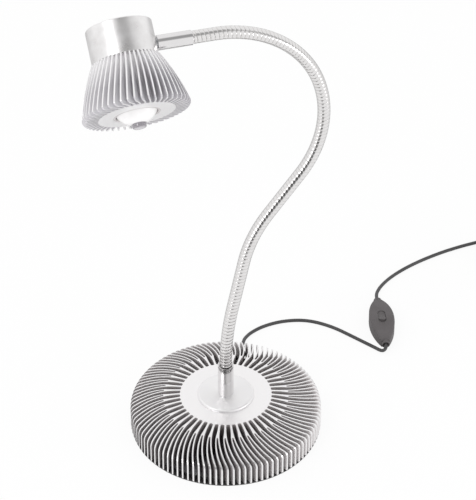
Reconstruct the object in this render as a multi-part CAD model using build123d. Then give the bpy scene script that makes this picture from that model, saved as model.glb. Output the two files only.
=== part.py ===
from build123d import *
import math
import os

# Desk lamp with a finned foot, a gooseneck, a finned head and a USB cord with a switch.
# The origin is on the foot's axis at the desk, +Z is up, sizes are millimetres and degrees.

# Clearances
OVERRUN = 1.0           # how far a cut runs past the faces it opens
FIT = 0.06              # running fit of a pin in its hole, on the radius
THREAD_ROOM = 0.05      # screw or stud in its thread, on the radius
SLIP = 0.1              # assembled pieces that slide together
WIRE_ROOM = 0.3         # wire in its passage, on the radius
BALL_ROOM = 0.25        # between two neighbouring lengths of the neck

# Foot
BASE_R = 75.0
SHOULDER_Z = 18.8
SHOULDER_ROUND = 4.5
HUB_Z = 28.2
HUB_R = 36.25
CROWN = 1.4             # how far the top swells between hub and shoulder
HUB_ROOF = 5.0
CAVITY_R = 29.5
FOOT_T = 1.2
FOOT_INSET = 0.5
PLATE_T = 2.0
PLATE_INSET = 5.0
SLOTS = 52
SLOT_TURN = 3.0         # turn of the first slot from +X
SLOT_END_ROUND = 0.5
FORK_R = 48.6
TWIN_START_R = 49.6
SLOT_W_HUB = 2.8
SLOT_W_INNER = 3.5
SLOT_W_FORK = 3.15
SLOT_W_MID = 2.95
TWIN_W_START = 1.3
TWIN_W_MID = 2.4
FIN_T = 1.2             # fin at the rim
BASE_SWEEP = 7.5        # how far the fins turn from the fork to the rim
BASE_SWEEP_MID_SHARE = 0.35
PLATE_SCREWS = 3
PLATE_SCREW_R = 1.5
PLATE_SCREW_L = 10.0
PLATE_SCREW_HEAD_R = 2.7
PLATE_SCREW_HEAD_T = 1.3

# Neck seat on the foot
FLANGE_R = 22.2
FLANGE_T = 2.4
FLANGE_ROUND = 1.9
FERRULE_R = 6.2
FERRULE_H = 28.2
FERRULE_MOUTH_R = 5.7
FERRULE_MOUTH_D = 1.8
NECK_INSERT = 18.0
STUD_R = 4.0
STUD_WALL = 1.9
STUD_HOLE_ROOM = 0.25
STUD_PAST_NUT = 1.0
BASE_WASHER_R = 9.0
BASE_WASHER_T = 1.0
BASE_NUT_FLATS = 13.0
BASE_NUT_T = 4.0

# Neck: a lean, a straight, a swing, a straight, a bow back and a hook down to level
NECK_R = 4.8
GROOVE_DEPTH = 0.55
RIB_PITCH = 3.2
RIBS_PER_LENGTH = 14
RIB_SHARES = (0.0, 0.15, 0.75, 0.9)
BALL_R = 5.6
JOINTS = 8
FIRST_JOINT = 40.0
NECK_YAW = 15.6
LEAN, LEAN_R = 11.6, 285.0
RISE_LOW = 43.2
SWING, SWING_R = 25.0, 108.6
RISE_HIGH = 39.8
BOW, BOW_R = 55.2, 91.0
HOOK_R = 82.2
NECK_END = 17.0

# Head
HEAD_FERRULE_R = 5.5
HEAD_FERRULE_L = 25.2
HEAD_INSERT = 13.0
HEAD_GAP = 0.8          # narrow gap between ferrule and cap, where the stud shows
HEAD_STUD_GRIP = 8.0
HEAD_ROLL = 51.6        # lens turned up from straight down, about the ferrule
HEAD_WASHER_R = 6.5
HEAD_WASHER_T = 0.8
HEAD_NUT_FLATS = 11.0
HEAD_NUT_T = 3.5
CAP_R = 24.05
CAP_H = 25.4
CAP_WALL = 2.55
CAP_ROOF = 3.0
CAP_ROUND = 0.9
STUD_RISE = 9.2         # stud axis above the cap's lower edge
CAP_PAD_X = 17.1
CAP_PAD_HALF_W = 7.5
SPIGOT_WALL = 2.8
BELL_TOP_R = 24.6
BELL_MID_R = 33.8
BELL_R = 39.8
BELL_H = 40.1
BELL_ROUND = 2.6
HEAD_SLOTS = 50
HEAD_SLOT_R = 20.0      # where a slot's plan starts, inside the conical root
HEAD_ROOT_TOP_R = 20.6
HEAD_ROOT_RIM_R = 28.0
HEAD_SLOT_W_ROOT = 1.4
HEAD_FIN_T = 1.05
HEAD_SWEEP = -11.0
HEAD_SWEEP_MID_SHARE = 0.36
CORE_RECESS = 14.0
LENS_R = 16.9
POCKET_D = 16.0
LENS_FLANGE_T = 2.0
LENS_RING_T = 2.3
LENS_RING_WALL = 1.5
LENS_DOME = 10.0
BEAD_R = 5.1
BEAD_H = 2.3
BEAD_ROUND = 1.3
LED_BOARD_R = 10.0
LED_BOARD_T = 1.6
LED_W = 5.0
LED_T = 0.9
LED_DOME_R = 1.9
BOARD_SCREW_OFFSET = 7.2
BOARD_SCREW_R = 1.0
BOARD_SCREW_L = 6.0
BOARD_SCREW_HEAD_R = 1.9
BOARD_SCREW_HEAD_T = 1.2
DRIVER_R = 14.0
DRIVER_T = 1.2
DRIVER_DROP = 3.4       # driver board below the cap's roof
DRIVER_POST_R = 2.0
DRIVER_POST_Y = 10.5
CHOKE_R = 3.4
CHOKE_T = 1.8
CHIP_L, CHIP_W, CHIP_T = 5.0, 4.0, 1.6
CHIP_X, CHIP_Y = 5.0, 4.5
LEAD_R = 0.55
LEAD_X = -8.0
LEAD_Y = 1.2
LEAD_HOLE_R = 2.6

# Cord
CORD_R = 1.4
EXIT_AZ = 8.8           # cord exit, turned from straight back towards +X
EXIT_Z = 5.0
GROMMET_R = 3.1
GROMMET_L = 4.6
GROMMET_LIP_R = 4.2
GROMMET_LIP_T = 1.5
BOOT_L = 8.0
BOOT_TIP_WALL = 0.55
LEAD_BEND_R = 9.5
CORD_RADIUS_SHARE = 0.45
CORD_STUB = 6.0         # straight run out of a boot or a coil
LEAD_ROUTE = ((16.0, 95.8, 2.9), (21.6, 104.2, CORD_R), (31.4, 112.6, CORD_R), (46.8, 120.2, CORD_R),
              (66.5, 121.2, CORD_R), (85.5, 111.8, CORD_R), (103.5, 99.3, CORD_R), (112.5, 92.2, CORD_R),
              (119.8, 85.9, 1.5), (124.1, 82.0, 2.0), (126.6, 81.8, 2.8), (128.7, 83.1, 3.9))
TAIL_ROUTE = ((124.2, 148.5, 3.6), (125.0, 156.0, 2.0), (129.2, 165.6, CORD_R), (137.5, 176.5, CORD_R),
              (150.0, 188.2, CORD_R), (166.0, 199.8, CORD_R), (184.0, 210.4, CORD_R), (203.0, 219.2, CORD_R))
COIL_RUN_IN = 12.0

# Switch on the cord
SWITCH_X, SWITCH_Y = 127.2, 113.4
SWITCH_TURN = 95.0      # direction from the near end to the far end, from +X
SWITCH_L = 51.0
SWITCH_W = 20.4
SWITCH_END_W = 6.6
SWITCH_H = 12.6
SWITCH_END_H = 8.6
SWITCH_ROUND = 1.8
SWITCH_WALL = 1.5
SWITCH_SPLIT_Z = 5.2
COLLAR_R = 3.2
COLLAR_L = 2.6
COLLAR_FLARE_R = 2.4
COLLAR_FLARE_L = 2.2
ROCKER_X = -0.4
ROCKER_L = 12.8
ROCKER_W = 5.8
ROCKER_ROUND = 2.8
ROCKER_DROP = 3.0       # pivot below the switch's crown
ROCKER_END_RISE = 3.4
ROCKER_MID_RISE = 2.3
ROCKER_FOOT = 2.6
ROCKER_TILT = 9.0
PIVOT_R = 1.0
PIVOT_L = 1.6
WINDOW_ROOM_L = 0.5
WINDOW_ROOM_W = 0.2
CHEEK_T = 2.2
CHEEK_L = 4.4
BRIDGE_L, BRIDGE_W, BRIDGE_T = 10.0, 2.6, 0.5
CONTACT_ROOM = 0.15
TERMINAL_L, TERMINAL_W, TERMINAL_T = 10.0, 3.2, 0.8
SWITCH_SCREW_X = 15.0
SWITCH_SCREW_Y = 4.6
SWITCH_SCREW_R = 0.9
SWITCH_SCREW_HEAD_R = 1.8
SWITCH_SCREW_HEAD_T = 1.2
SWITCH_BOSS_R = 2.2

# Put-away coil, its tie and the plug
COIL_X, COIL_Y = 238.0, 202.4
COIL_STEP = 3.3
COIL_LAYER = 3.35
COIL_TURNS_IN = 4.25
COIL_TURNS_OUT = 4.0
COIL_CLIMB = 0.5        # turns taken to climb to the upper layer
COIL_R_IN = 9.2
COIL_START = 90.0
QUARTERS = 4
GAP_STEPS = 48          # points on a turn when the coil's gap is measured
TIE_T = 0.7
TIE_W = 5.0
TIE_ROOM = 0.5
TIE_TURNS = 0.75        # how far round the coil's first turn the tie sits
PLUG_Y = 181.2
PLUG_BOOT_L = 8.0
GRIP_L, GRIP_W, GRIP_H = 23.0, 15.8, 8.4
GRIP_ROUND = 2.2
SHELL_L, SHELL_W, SHELL_H = 18.8, 12.0, 4.5
SHELL_WALL = 0.32
SHELL_GRIPPED = 6.8
SHELL_HOLE = 2.3
SHELL_HOLE_X = 6.3      # middle of the latch holes, from the open end
SHELL_HOLE_Y = 2.9
TONGUE_T = 1.9
TONGUE_SHORT = 0.6
CONTACTS = 4
CONTACT_PITCH = 2.3
CONTACT_W = 1.0
CONTACT_T = 0.2
CONTACT_L = 8.0

# Places that follow from the sizes above
SEAT_Z = FOOT_T + PLATE_T
FLANGE_Z = HUB_Z + FLANGE_T
NECK_Z = FLANGE_Z + FERRULE_H
GROOVE_R = NECK_R - GROOVE_DEPTH
WIRE_HOLE_R = CORD_R + WIRE_ROOM
STUD_BORE_R = STUD_R - STUD_WALL
LENGTH_STEP = RIB_PITCH * RIBS_PER_LENGTH
NECK_SIDE = Vector(math.cos(math.radians(NECK_YAW)), math.sin(math.radians(NECK_YAW)), 0)
NECK_BACK = Vector(-NECK_SIDE.Y, NECK_SIDE.X, 0)
HOOK = 90.0 + LEAN + SWING - BOW
NECK_RUNS = ((LEAN, LEAN_R), (0, RISE_LOW), (SWING, SWING_R), (0, RISE_HIGH),
             (-BOW, BOW_R), (-HOOK, HOOK_R), (0, NECK_END))
CAP_LOW = -STUD_RISE
CAP_TOP = CAP_LOW + CAP_H
CAP_IN_R = CAP_R - CAP_WALL
SPIGOT_R = CAP_IN_R - SLIP
SPIGOT_H = STUD_RISE - STUD_R - WIRE_ROOM
SPIGOT_IN_R = SPIGOT_R - SPIGOT_WALL
BELL_LOW = CAP_LOW - BELL_H
POCKET_R = LENS_R + SLIP
POCKET_ROOF = BELL_LOW + POCKET_D
LENS_SEAT = BELL_LOW + LENS_RING_T + LENS_FLANGE_T
DRIVER_Z = CAP_TOP - CAP_ROOF - DRIVER_DROP
HEAD_FERRULE_X = CAP_R + HEAD_GAP
HEAD_MOUTH_X = HEAD_FERRULE_X + HEAD_FERRULE_L
HEAD_NUT_X = CAP_PAD_X - SLIP - HEAD_WASHER_T - HEAD_NUT_T
HEAD_STUD_END_X = HEAD_NUT_X - STUD_PAST_NUT
EXIT_WAY = Vector(math.sin(math.radians(EXIT_AZ)), math.cos(math.radians(EXIT_AZ)), 0)
BOOT_TIP = EXIT_WAY * (BASE_R + GROMMET_LIP_T + BOOT_L) + Vector(0, 0, EXIT_Z)
COLLAR_BORE_R = CORD_R + SLIP
SWITCH_FACE_X = SWITCH_L / 2 + COLLAR_L
ROCKER_Z = SWITCH_H - ROCKER_DROP
COIL_Z = TIE_T + SLIP + CORD_R
COIL_R_OUT = COIL_R_IN + COIL_STEP * COIL_TURNS_IN
COIL_TURNS = COIL_TURNS_IN + COIL_TURNS_OUT
PLUG_Z = GRIP_H / 2
LEVEL = (Align.CENTER, Align.CENTER, Align.MIN)
HUNG = (Align.CENTER, Align.CENTER, Align.MAX)

nodes = {}


def post(radius, low, high):
    """Round post on Z between two heights."""
    return Pos(0, 0, low) * Cylinder(radius, high - low, align=LEVEL)


def tube(outer, inner, low, high):
    """Round tube on Z between two heights."""
    return post(outer, low, high) - post(inner, low - OVERRUN, high + OVERRUN)


def block(low, high):
    """Box between two corners."""
    size = Vector(*high) - Vector(*low)
    return Pos(*low) * Box(size.X, size.Y, size.Z, align=(Align.MIN,) * 3)


def hex_nut(flats, bore, low, high):
    """Hexagon nut on Z between two heights."""
    plate = extrude(RegularPolygon(flats / 2, 6, major_radius=False), high - low)
    return Pos(0, 0, low) * plate - post(bore, low - OVERRUN, high + OVERRUN)


def turned(outline):
    """Solid of revolution round Z from an outline of radius and height."""
    return revolve(Plane.XZ * outline, Axis.Z)


def polar(radius, angle, offset=0.0):
    """Plan point at an angle, moved sideways by an offset along the circle."""
    turn = math.radians(angle) + offset / radius
    return (radius * math.cos(turn), radius * math.sin(turn))


def swept_sides(start, middle, rim):
    """The two curved sides of a slot, each through three widths: (radius, angle, width)."""
    sides = []
    for side in (0.5, -0.5):
        sides.append([polar(r, a, side * w) for r, a, w in (start, middle, rim)])
    return sides


# Foot

def base_slots():
    """Plan faces of one forked slot and of the twin slot that starts between two forks."""
    mid_r = (FORK_R + BASE_R) / 2
    half_pitch = 180.0 / SLOTS
    rim_r = BASE_R + OVERRUN
    rim_w = math.pi * BASE_R / SLOTS - FIN_T
    mid_turn = BASE_SWEEP * BASE_SWEEP_MID_SHARE
    fork = (FORK_R, 0, SLOT_W_FORK)
    inner = ((HUB_R + FORK_R) / 2, 0, SLOT_W_INNER)
    in_left, in_right = swept_sides((HUB_R, 0, SLOT_W_HUB), inner, fork)
    fork_mid = (mid_r, mid_turn, SLOT_W_MID)
    left, right = swept_sides(fork, fork_mid, (rim_r, BASE_SWEEP, rim_w))
    hub_end = polar(HUB_R - SLOT_END_ROUND, 0)
    forked = make_face([ThreePointArc(*in_left), ThreePointArc(*left), Line(left[2], right[2]),
                        ThreePointArc(*right[::-1]), ThreePointArc(*in_right[::-1]),
                        ThreePointArc(in_right[0], hub_end, in_left[0])])
    start = (TWIN_START_R, half_pitch, TWIN_W_START)
    twin_mid = (mid_r, half_pitch + mid_turn, TWIN_W_MID)
    left, right = swept_sides(start, twin_mid, (rim_r, half_pitch + BASE_SWEEP, rim_w))
    twin_end = polar(TWIN_START_R - TWIN_W_START / 2, half_pitch)
    twin = make_face([ThreePointArc(*left), Line(left[2], right[2]), ThreePointArc(*right[::-1]),
                      ThreePointArc(right[0], twin_end, left[0])])
    return forked, twin


def base_blank():
    """Turned foot before its slots are cut: flat hub, swelling top and rounded shoulder."""
    mid = ((BASE_R + HUB_R) / 2, (SHOULDER_Z + HUB_Z) / 2 + CROWN)
    outline = make_face([Line((0, FOOT_T), (BASE_R, FOOT_T)), Line((BASE_R, FOOT_T), (BASE_R, SHOULDER_Z)),
                         ThreePointArc((BASE_R, SHOULDER_Z), mid, (HUB_R, HUB_Z)),
                         Line((HUB_R, HUB_Z), (0, HUB_Z)), Line((0, HUB_Z), (0, FOOT_T))])
    shoulder = outline.vertices().sort_by_distance((BASE_R, SHOULDER_Z, 0))[0]
    return turned(fillet(shoulder, SHOULDER_ROUND))


def exit_place(distance):
    """Place on the cord's way out of the foot, with +X pointing outwards."""
    return Plane(origin=EXIT_WAY * distance + Vector(0, 0, EXIT_Z), x_dir=EXIT_WAY, z_dir=(0, 0, 1)).location


def lying(shape):
    """Turn a piece built on Z so that it lies along +X."""
    return Rot(0, 90, 0) * shape


def plate_screw_places():
    """Places of the plate screws in the hub's wall."""
    ring_r = (CAVITY_R + HUB_R) / 2
    return [Rot(0, 0, (i + 0.5) * 360.0 / PLATE_SCREWS - EXIT_AZ + 90.0) * Pos(ring_r, 0, 0)
            for i in range(PLATE_SCREWS)]


def make_foot():
    """Finned foot, its plate, screws and pad."""
    sink = base_blank()
    tools = []
    for face in base_slots():
        prism = extrude(face, HUB_Z + OVERRUN)
        tools += [Rot(0, 0, SLOT_TURN + i * 360.0 / SLOTS) * prism for i in range(SLOTS)]
    tools.append(post(BASE_R - PLATE_INSET + SLIP, FOOT_T - OVERRUN, SEAT_Z))
    tools.append(post(CAVITY_R, FOOT_T, HUB_Z - HUB_ROOF))
    tools.append(post(STUD_R + STUD_HOLE_ROOM, FOOT_T, HUB_Z + OVERRUN))
    channel_r = GROMMET_R + SLIP
    way = lying(post(channel_r, CAVITY_R - HUB_ROOF, BASE_R + OVERRUN))
    way += block((CAVITY_R - HUB_ROOF, -channel_r, -EXIT_Z), (BASE_R + OVERRUN, channel_r, 0))
    tools.append(exit_place(0) * way)
    hole_top = FOOT_T + PLATE_SCREW_L + OVERRUN
    tools += [p * post(PLATE_SCREW_R + THREAD_ROOM, FOOT_T, hole_top) for p in plate_screw_places()]
    nodes["base_heatsink"] = sink - tools

    plate = post(BASE_R - PLATE_INSET, FOOT_T, SEAT_Z)
    screw_r = PLATE_SCREW_R + THREAD_ROOM
    head_r = PLATE_SCREW_HEAD_R + SLIP
    screws = []
    for place in plate_screw_places():
        plate -= place * post(screw_r, FOOT_T - OVERRUN, SEAT_Z + OVERRUN)
        plate -= place * post(head_r, FOOT_T - OVERRUN, FOOT_T + PLATE_SCREW_HEAD_T)
        screw = post(PLATE_SCREW_HEAD_R, FOOT_T, FOOT_T + PLATE_SCREW_HEAD_T)
        screws.append(place * (screw + post(PLATE_SCREW_R, FOOT_T, FOOT_T + PLATE_SCREW_L)))
    nodes["base_plate"] = plate
    nodes["plate_screws"] = Compound(children=screws)
    nodes["foot_pad"] = post(BASE_R - FOOT_INSET, 0, FOOT_T)


def make_neck_seat():
    """Flange, ferrule, hollow stud, washer and lock nut that hold the neck on the foot."""
    flange = post(FLANGE_R, HUB_Z, FLANGE_Z)
    flange = fillet(flange.edges().group_by(Axis.Z)[-1], FLANGE_ROUND)
    nodes["neck_flange"] = flange - post(STUD_R + STUD_HOLE_ROOM, HUB_Z - OVERRUN, FLANGE_Z + OVERRUN)
    seat = NECK_Z - NECK_INSERT
    ferrule = post(FERRULE_R, FLANGE_Z, NECK_Z)
    ferrule -= post(NECK_R + WIRE_ROOM, seat, NECK_Z + OVERRUN)
    ferrule -= post(FERRULE_MOUTH_R, NECK_Z - FERRULE_MOUTH_D, NECK_Z + OVERRUN)
    nodes["base_ferrule"] = ferrule - post(STUD_R + THREAD_ROOM, FLANGE_Z - OVERRUN, NECK_Z)
    washer_top = HUB_Z - HUB_ROOF
    nut_top = washer_top - BASE_WASHER_T
    nut_low = nut_top - BASE_NUT_T
    nodes["base_washer"] = tube(BASE_WASHER_R, STUD_R + STUD_HOLE_ROOM, nut_top, washer_top)
    nodes["base_nut"] = hex_nut(BASE_NUT_FLATS, STUD_R + THREAD_ROOM, nut_low, nut_top)
    nodes["base_stud"] = tube(STUD_R, STUD_BORE_R, nut_low - STUD_PAST_NUT, seat)


def make_grommet():
    """Strain relief in the foot's back wall: bush, lip and tapered boot with a bore for the cord."""
    bush = post(GROMMET_R, BASE_R - GROMMET_L, BASE_R)
    lip = post(GROMMET_LIP_R, BASE_R, BASE_R + GROMMET_LIP_T)
    boot_low = BASE_R + GROMMET_LIP_T
    tip_r = CORD_R + BOOT_TIP_WALL
    boot = Pos(0, 0, boot_low) * Cone(GROMMET_R, tip_r, BOOT_L, align=LEVEL)
    bore = post(CORD_R + SLIP, BASE_R - GROMMET_L - OVERRUN, boot_low + BOOT_L + OVERRUN)
    nodes["cord_grommet"] = exit_place(0) * lying(bush + lip + boot - bore)


# Neck

def neck_station(s):
    """Centre line point and direction at a distance s above the base ferrule's mouth."""
    side, up, heading, left = 0.0, NECK_Z, 0.0, s
    if s < 0:
        return neck_point(0, NECK_Z + s), neck_way(0)
    for turn, size in NECK_RUNS:
        length = size if turn == 0 else abs(math.radians(turn)) * size
        step = min(left, length)
        if turn == 0:
            side += step * math.sin(heading)
            up += step * math.cos(heading)
        else:
            bend = math.copysign(step / size, turn)
            reach = math.copysign(size, turn)
            side += reach * (math.cos(heading) - math.cos(heading + bend))
            up += reach * (math.sin(heading + bend) - math.sin(heading))
            heading += bend
        left -= step
        if left <= 0:
            break
    side += left * math.sin(heading)
    up += left * math.cos(heading)
    return neck_point(side, up), neck_way(heading)


def neck_point(side, up):
    """Point in the neck's plane."""
    return NECK_SIDE * side + Vector(0, 0, up)


def neck_way(heading):
    """Direction in the neck's plane, heading from straight up."""
    return NECK_SIDE * math.sin(heading) + Vector(0, 0, math.cos(heading))


def neck_marks():
    """Distances along the neck where one run meets the next."""
    marks = [0.0]
    for turn, size in NECK_RUNS:
        marks.append(marks[-1] + (size if turn == 0 else abs(math.radians(turn)) * size))
    return marks


def neck_core(radius, start, end):
    """Round core along the neck's centre line between two distances."""
    stops = [start] + [m for m in neck_marks() if start < m < end] + [end]
    edges = []
    for a, b in zip(stops, stops[1:]):
        first, middle, last = (neck_station(s)[0] for s in (a, (a + b) / 2, b))
        bent = (middle - (first + last) / 2).length > FIT * FIT
        edges.append(ThreePointArc(first, middle, last) if bent else Line(first, last))
    point, way = neck_station(start)
    section = Plane(origin=point, x_dir=NECK_BACK, z_dir=way) * Circle(radius)
    return sweep(section, path=Wire(edges))


def joint_distances():
    """Distances along the neck of its bending points."""
    return [FIRST_JOINT + i * LENGTH_STEP for i in range(JOINTS)]


def rim_rise():
    """Height of a ball's rim above the bending point, where the ball meets the neck's side."""
    return math.sqrt(BALL_R ** 2 - NECK_R ** 2)


def first_rib():
    """Where ribs start after a bending point, so that a crest lies on the joint."""
    crest_middle = (RIB_SHARES[1] + RIB_SHARES[2]) / 2 * RIB_PITCH
    return rim_rise() + BALL_ROOM / 2 - crest_middle


def ribbed(start, end, plain_start=None, plain_end=None):
    """Ribbed tube between two distances, with plain ends where it is held."""
    rings = []
    if plain_start is not None:
        rings.append((plain_start, NECK_R))
    count = round((end - start) / RIB_PITCH)
    for i in range(count):
        for share, radius in zip(RIB_SHARES, (GROOVE_R, NECK_R, NECK_R, GROOVE_R)):
            rings.append((start + (i + share) * RIB_PITCH, radius))
    if plain_end is not None:
        rings.append((plain_end, GROOVE_R))
    sections = []
    for s, radius in rings:
        point, way = neck_station(s)
        sections.append(Plane(origin=point, x_dir=NECK_BACK, z_dir=way) * Circle(radius))
    return loft(sections, ruled=True)


def ball_trim(s):
    """What is cut off a length's upper end so that it becomes a ball round its bending point."""
    point, way = neck_station(s)
    trim = post(BALL_R + OVERRUN, 0, 2 * BALL_R) - Sphere(BALL_R)
    return Plane(origin=point, x_dir=NECK_BACK, z_dir=way).location * trim


def ball_cup(s):
    """Hollow in the next length's lower end, round the same bending point."""
    return Pos(*neck_station(s)[0]) * Sphere(BALL_R + BALL_ROOM)


def make_neck():
    """Nine lengths of gooseneck, each with its length of wire, from ball to cup."""
    joints = joint_distances()
    neck_top = neck_marks()[-1]
    head_axis = neck_top + HEAD_MOUTH_X
    wire_reach = math.sqrt(BALL_R ** 2 - CORD_R ** 2)
    past_ball = math.ceil((BALL_R - first_rib()) / RIB_PITCH) * RIB_PITCH + first_rib()
    for i in range(JOINTS + 1):
        low = joints[i - 1] if i > 0 else None
        high = joints[i] if i < JOINTS else None
        if low is None:
            ribs_in = math.floor((high + first_rib() + NECK_INSERT) / RIB_PITCH) * RIB_PITCH
            length = ribbed(high + first_rib() - ribs_in, high + past_ball, plain_start=-NECK_INSERT)
        elif high is None:
            ribs_out = math.floor((neck_top - low - first_rib()) / RIB_PITCH) * RIB_PITCH
            ribs_start = low + first_rib()
            length = ribbed(ribs_start, ribs_start + ribs_out, plain_end=neck_top + HEAD_INSERT)
        else:
            length = ribbed(low + first_rib(), high + past_ball)
        hole_low = -NECK_INSERT - OVERRUN if low is None else low
        hole_high = neck_top + HEAD_INSERT + OVERRUN if high is None else high + 2 * BALL_R
        length -= neck_core(WIRE_HOLE_R, hole_low, hole_high)
        if high is not None:
            length -= ball_trim(high)
        if low is not None:
            length -= ball_cup(low)
        nodes[f"neck_length_{i + 1}"] = length
        wire_high = head_axis - HEAD_STUD_END_X + OVERRUN if high is None else high + wire_reach
        if low is None:
            nodes["base_lead"] = base_lead(wire_high)
        else:
            nodes[f"neck_wire_{i + 1}"] = neck_core(CORD_R, low + BALL_R + BALL_ROOM, wire_high)


def base_lead(top):
    """Lead from the boot's tip through the foot and up the stud into the first neck length."""
    corner = Vector(0, 0, EXIT_Z)
    bend_end = corner + Vector(0, 0, LEAD_BEND_R)
    bend_start = corner + EXIT_WAY * LEAD_BEND_R
    bend_mid = corner + (EXIT_WAY + Vector(0, 0, 1)) * LEAD_BEND_R * (1 - math.sqrt(0.5))
    edges = [Line(BOOT_TIP, bend_start), ThreePointArc(bend_start, bend_mid, bend_end),
             Line(bend_end, (0, 0, NECK_Z))]
    section = Plane(origin=BOOT_TIP, x_dir=(0, 0, 1), z_dir=EXIT_WAY * -1) * Circle(CORD_R)
    return sweep(section, path=Wire(edges)) + neck_core(CORD_R, 0, top)


# Head, built with its stud axis along +X through the origin and its lens facing down

def head_place():
    """Where the head sits: on the line of the neck's end, rolled about it."""
    mouth, _ = neck_station(neck_marks()[-1])
    roll = math.radians(HEAD_ROLL)
    up = Vector(0, 0, 1) * math.cos(roll) + NECK_BACK * math.sin(roll)
    return Plane(origin=mouth - NECK_SIDE * HEAD_MOUTH_X, x_dir=NECK_SIDE, z_dir=up).location


def add_head(name, shape):
    """Put a piece of the head in its place."""
    nodes[name] = head_place() * shape


def make_head_joint():
    """Head ferrule, hollow stud, washer and nut on the stud's axis."""
    ferrule = post(HEAD_FERRULE_R, HEAD_FERRULE_X, HEAD_MOUTH_X)
    ferrule -= post(GROOVE_R + SLIP, HEAD_MOUTH_X - HEAD_INSERT, HEAD_MOUTH_X + OVERRUN)
    ferrule -= post(STUD_R + THREAD_ROOM, HEAD_FERRULE_X - OVERRUN, HEAD_FERRULE_X + HEAD_STUD_GRIP)
    ferrule -= post(WIRE_HOLE_R, HEAD_FERRULE_X, HEAD_MOUTH_X)
    add_head("head_ferrule", lying(ferrule))
    stud = tube(STUD_R, STUD_BORE_R, HEAD_STUD_END_X, HEAD_FERRULE_X + HEAD_STUD_GRIP)
    add_head("head_stud", lying(stud))
    nut_high = HEAD_NUT_X + HEAD_NUT_T
    add_head("head_nut", lying(hex_nut(HEAD_NUT_FLATS, STUD_R + THREAD_ROOM, HEAD_NUT_X, nut_high)))
    washer = tube(HEAD_WASHER_R, STUD_R + THREAD_ROOM, nut_high, nut_high + HEAD_WASHER_T)
    add_head("head_washer", lying(washer))


def make_cap():
    """Turned cup with a flat pad inside for the stud's washer and two posts for the driver board."""
    cap = post(CAP_R, CAP_LOW, CAP_TOP)
    cap = fillet(cap.edges().group_by(Axis.Z)[-1], CAP_ROUND)
    roof = CAP_TOP - CAP_ROOF
    cap -= post(CAP_IN_R, CAP_LOW - OVERRUN, roof)
    pad_low = CAP_LOW + SPIGOT_H + SLIP
    pad = block((CAP_PAD_X, -CAP_PAD_HALF_W, pad_low), (CAP_R, CAP_PAD_HALF_W, CAP_PAD_HALF_W))
    cap += pad & post(CAP_R - CAP_WALL / 2, CAP_LOW, CAP_TOP)
    cap -= lying(post(STUD_R + FIT, 0, CAP_R + OVERRUN))
    for side in (1, -1):
        cap += Pos(0, side * DRIVER_POST_Y, 0) * post(DRIVER_POST_R, DRIVER_Z + DRIVER_T, roof)
    add_head("head_cap", cap)


def head_slot():
    """Plan face of one head slot, from inside the core out past the rim."""
    rim_r = BELL_R + OVERRUN
    rim_w = 2 * math.pi * BELL_R / HEAD_SLOTS - HEAD_FIN_T
    mid = ((HEAD_SLOT_R + BELL_R) / 2, HEAD_SWEEP * HEAD_SWEEP_MID_SHARE, (HEAD_SLOT_W_ROOT + rim_w) / 2)
    left, right = swept_sides((HEAD_SLOT_R, 0, HEAD_SLOT_W_ROOT), mid, (rim_r, HEAD_SWEEP, rim_w))
    return make_face([ThreePointArc(*left), Line(left[2], right[2]), ThreePointArc(*right[::-1]),
                      Line(right[0], left[0])])


def make_head_sink():
    """Finned bell with a spigot for the cap above and a pocket for the lens below."""
    middle = (BELL_MID_R, CAP_LOW - BELL_H / 2)
    outline = make_face([Line((0, CAP_LOW), (BELL_TOP_R, CAP_LOW)),
                         ThreePointArc((BELL_TOP_R, CAP_LOW), middle, (BELL_R, BELL_LOW)),
                         Line((BELL_R, BELL_LOW), (0, BELL_LOW)), Line((0, BELL_LOW), (0, CAP_LOW))])
    rim = outline.vertices().sort_by_distance((BELL_R, BELL_LOW, 0))[0]
    bell = turned(fillet(rim, BELL_ROUND))
    tool_h = BELL_H + 2 * OVERRUN
    root = Cone(HEAD_ROOT_RIM_R, HEAD_ROOT_TOP_R, tool_h, align=LEVEL)
    prism = Pos(0, 0, BELL_LOW - OVERRUN) * (extrude(head_slot(), tool_h) - root)
    tools = [Rot(0, 0, i * 360.0 / HEAD_SLOTS) * prism for i in range(HEAD_SLOTS)]
    tools.append(post(POCKET_R, BELL_LOW - OVERRUN, POCKET_ROOF))
    tools.append(post(SPIGOT_IN_R, CAP_LOW - CORE_RECESS, CAP_LOW + OVERRUN))
    tools.append(Pos(LEAD_X, 0, 0) * post(LEAD_HOLE_R, POCKET_ROOF - OVERRUN, CAP_LOW))
    screw_top = POCKET_ROOF + BOARD_SCREW_L
    for side in (1, -1):
        hole = post(BOARD_SCREW_R + THREAD_ROOM, POCKET_ROOF - OVERRUN, screw_top)
        tools.append(Pos(0, side * BOARD_SCREW_OFFSET, 0) * hole)
    bell = bell - tools
    add_head("head_heatsink", bell + tube(SPIGOT_R, SPIGOT_IN_R, CAP_LOW, CAP_LOW + SPIGOT_H))


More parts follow.
